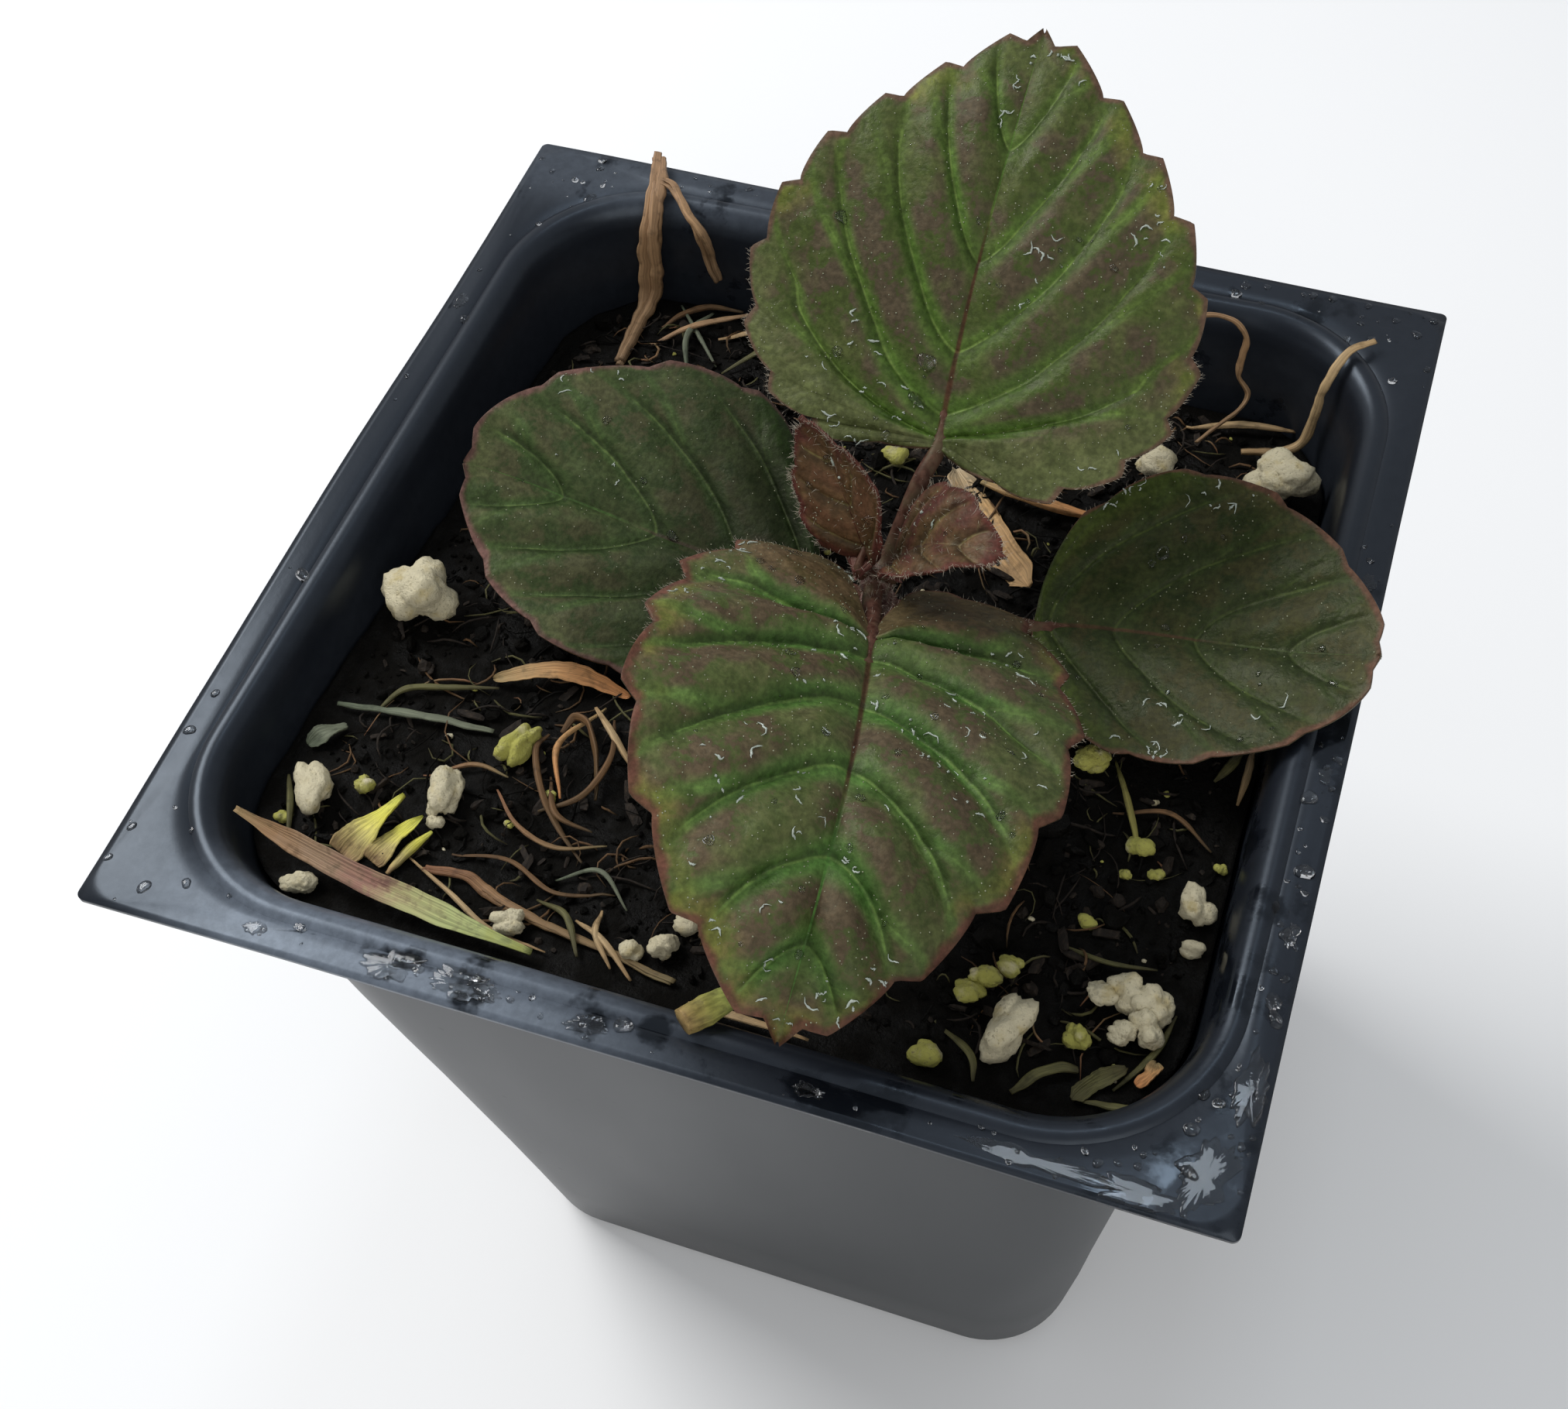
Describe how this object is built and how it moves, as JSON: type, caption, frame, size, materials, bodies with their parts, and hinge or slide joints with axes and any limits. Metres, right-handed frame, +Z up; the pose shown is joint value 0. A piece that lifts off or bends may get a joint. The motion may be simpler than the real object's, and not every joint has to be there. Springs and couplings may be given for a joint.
{
  "type": "potted bee balm",
  "caption": "Young bee balm seedling with toothed, quilted leaves in a small square plastic nursery pot of dark soil with perlite and dry litter.",
  "frame": {"origin": "centre of the pot's base, on the surface that it stands on", "axes": "+Z up, +X along the pot's front side to the right, +Y to the pot's back"},
  "size_m": [0.09, 0.0894, 0.1188],
  "materials": {
    "pot_plastic": "thin black formed sheet, wet and semi-gloss",
    "soil": "moist dark potting soil, rough",
    "stem": "hairy red-brown stem",
    "leaf": "quilted green leaf flushed purple-brown, lightly waxy and wet",
    "young_leaf": "maroon young leaf with fine hairs",
    "perlite": "cream expanded grains, matt and pitted",
    "fresh_litter": "yellow-green fibrous plant scrap",
    "dry_litter": "tan and brown dry plant scrap"
  },
  "bodies": {
    "root": {"pot": "pot_plastic", "soil": "soil", "stem": "stem", "leaf_front": "leaf", "leaf_back": "leaf", "leaf_left": "leaf", "leaf_right": "leaf", "young_leaf_left": "young_leaf", "young_leaf_right": "young_leaf", "perlite_01": "perlite", "perlite_02": "perlite", "perlite_03": "perlite", "perlite_04": "perlite", "perlite_05": "perlite", "perlite_06": "perlite", "perlite_07": "perlite", "perlite_08": "perlite", "perlite_09": "perlite", "perlite_10": "perlite", "perlite_11": "perlite", "perlite_12": "perlite", "perlite_13": "perlite", "perlite_14": "perlite", "perlite_joined": "perlite", "grass_blade": "fresh_litter", "green_sliver_1": "fresh_litter", "green_sliver_2": "fresh_litter", "rim_stub": "fresh_litter", "orange_leaf": "dry_litter", "tan_straw": "dry_litter", "brown_curl": "dry_litter", "dull_straw": "dry_litter", "flake": "dry_litter", "dead_stem": "dry_litter", "dead_branch": "dry_litter", "curled_straw": "dry_litter", "straw_back_right": "dry_litter", "brown_twig": "dry_litter", "grey_straw": "dry_litter", "root_loop": "dry_litter", "green_stalk": "dry_litter"}
  },
  "joints": []
}
